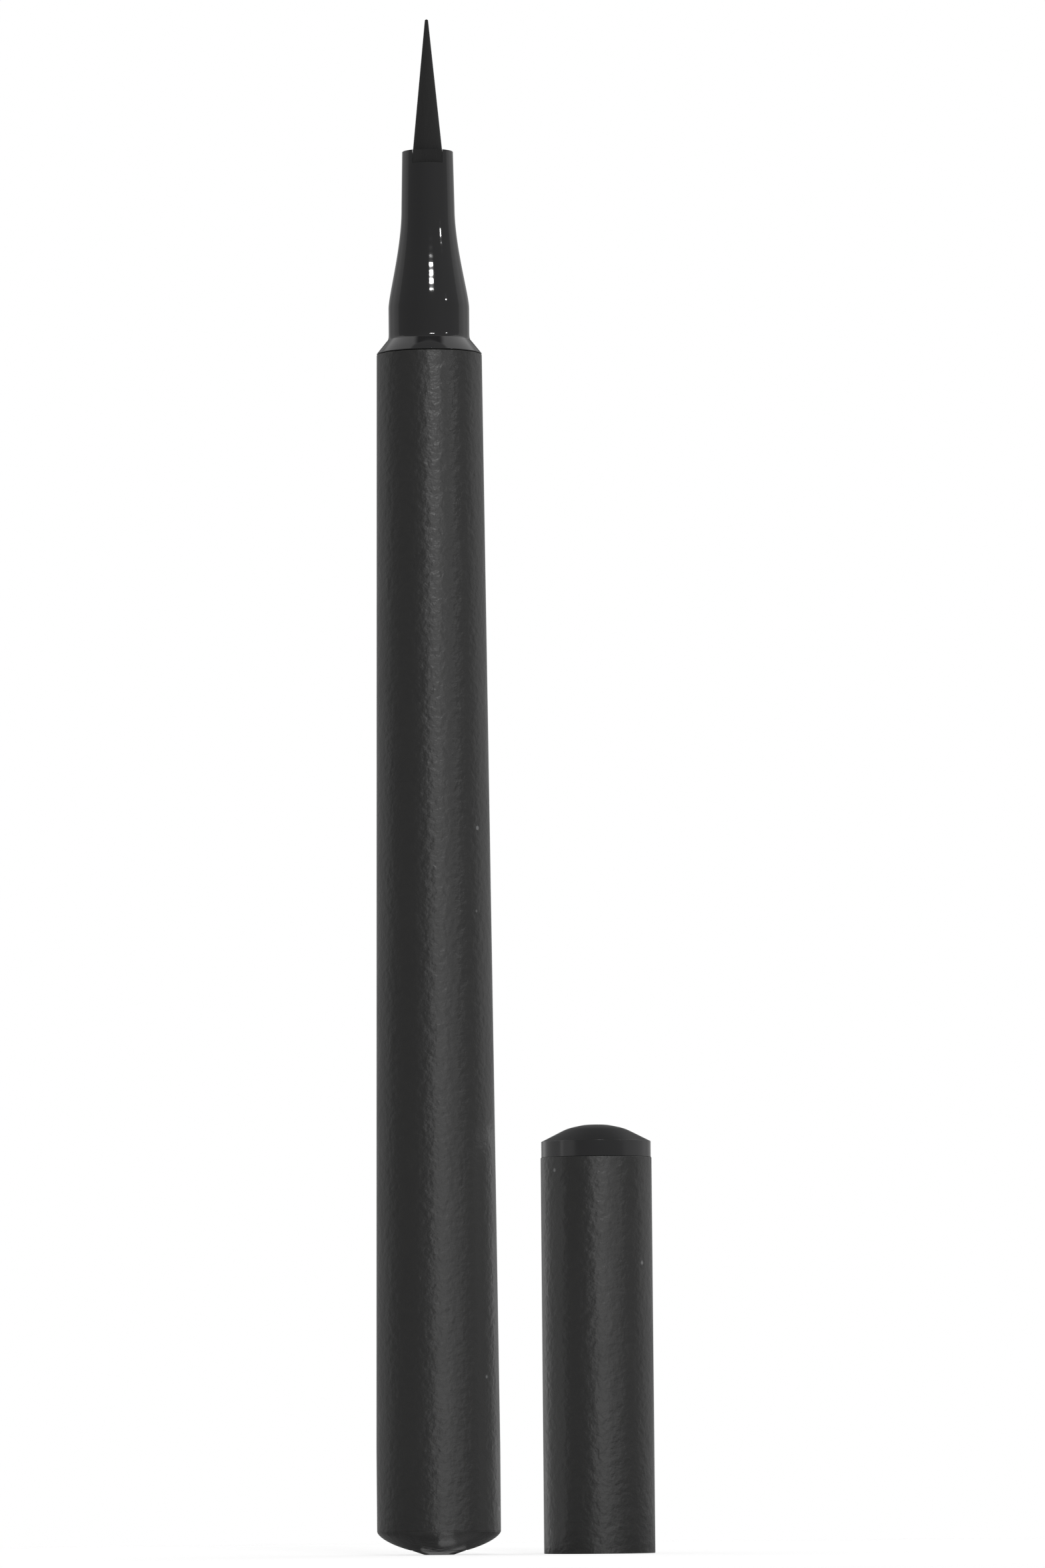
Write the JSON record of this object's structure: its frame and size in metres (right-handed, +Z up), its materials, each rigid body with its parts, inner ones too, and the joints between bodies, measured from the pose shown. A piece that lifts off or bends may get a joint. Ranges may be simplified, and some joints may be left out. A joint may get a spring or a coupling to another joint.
{
  "type": "liquid eyeliner pen",
  "caption": "Slim tapered liquid eyeliner pen standing on its tail with a fine felt nib up, and its pull-off cap standing beside it.",
  "frame": {"origin": "middle of the flat foot on the pen's tail, on the surface that the pen and the cap stand on", "axes": "+Z up along the pen's axis to the nib's point, +X from the pen to the cap beside it, +Y away from the viewer"},
  "size_m": [0.0237, 0.0106, 0.1316],
  "materials": {
    "soft_touch_black": "soft-touch black coating, satin with a fine grain",
    "gloss_black": "glossy moulded black",
    "black_felt": "dense felt soaked with dark ink",
    "natural_plastic": "unpigmented moulded plastic",
    "milky_plastic": "milky moulded polyethylene",
    "inked_fibre": "bonded fibre wick soaked with grey-green ink",
    "stainless_steel": "bright stainless steel"
  },
  "bodies": {
    "pen": {"barrel": "soft_touch_black", "tail_plug": "soft_touch_black", "tank_bulkhead": "natural_plastic", "ink_collector": "natural_plastic", "feed_rod": "inked_fibre", "nozzle": "gloss_black", "nib_retainer": "natural_plastic", "nib": "black_felt"},
    "ball": {"mixing_ball": "stainless_steel"},
    "cap": {"cap_shell": "soft_touch_black", "cap_crown": "gloss_black", "cap_spring": "stainless_steel"},
    "floating_inner_cap": {"inner_cap": "milky_plastic"}
  },
  "joints": [
    {"name": "cap_lift", "type": "slide", "parent": "pen", "child": "cap", "axis": [0, 0, 1], "range_m": [0, 0.135]},
    {"name": "inner_cap_float", "type": "slide", "parent": "cap", "child": "floating_inner_cap", "axis": [0, 0, 1], "range_m": [0, 0.0012], "stiffness_N_per_m": 150, "springref_m": -0.002, "deforming": ["cap_spring"]},
    {"name": "ball_travel", "type": "slide", "parent": "pen", "child": "ball", "axis": [0, 0, 1], "range_m": [0, 0.0597]}
  ]
}
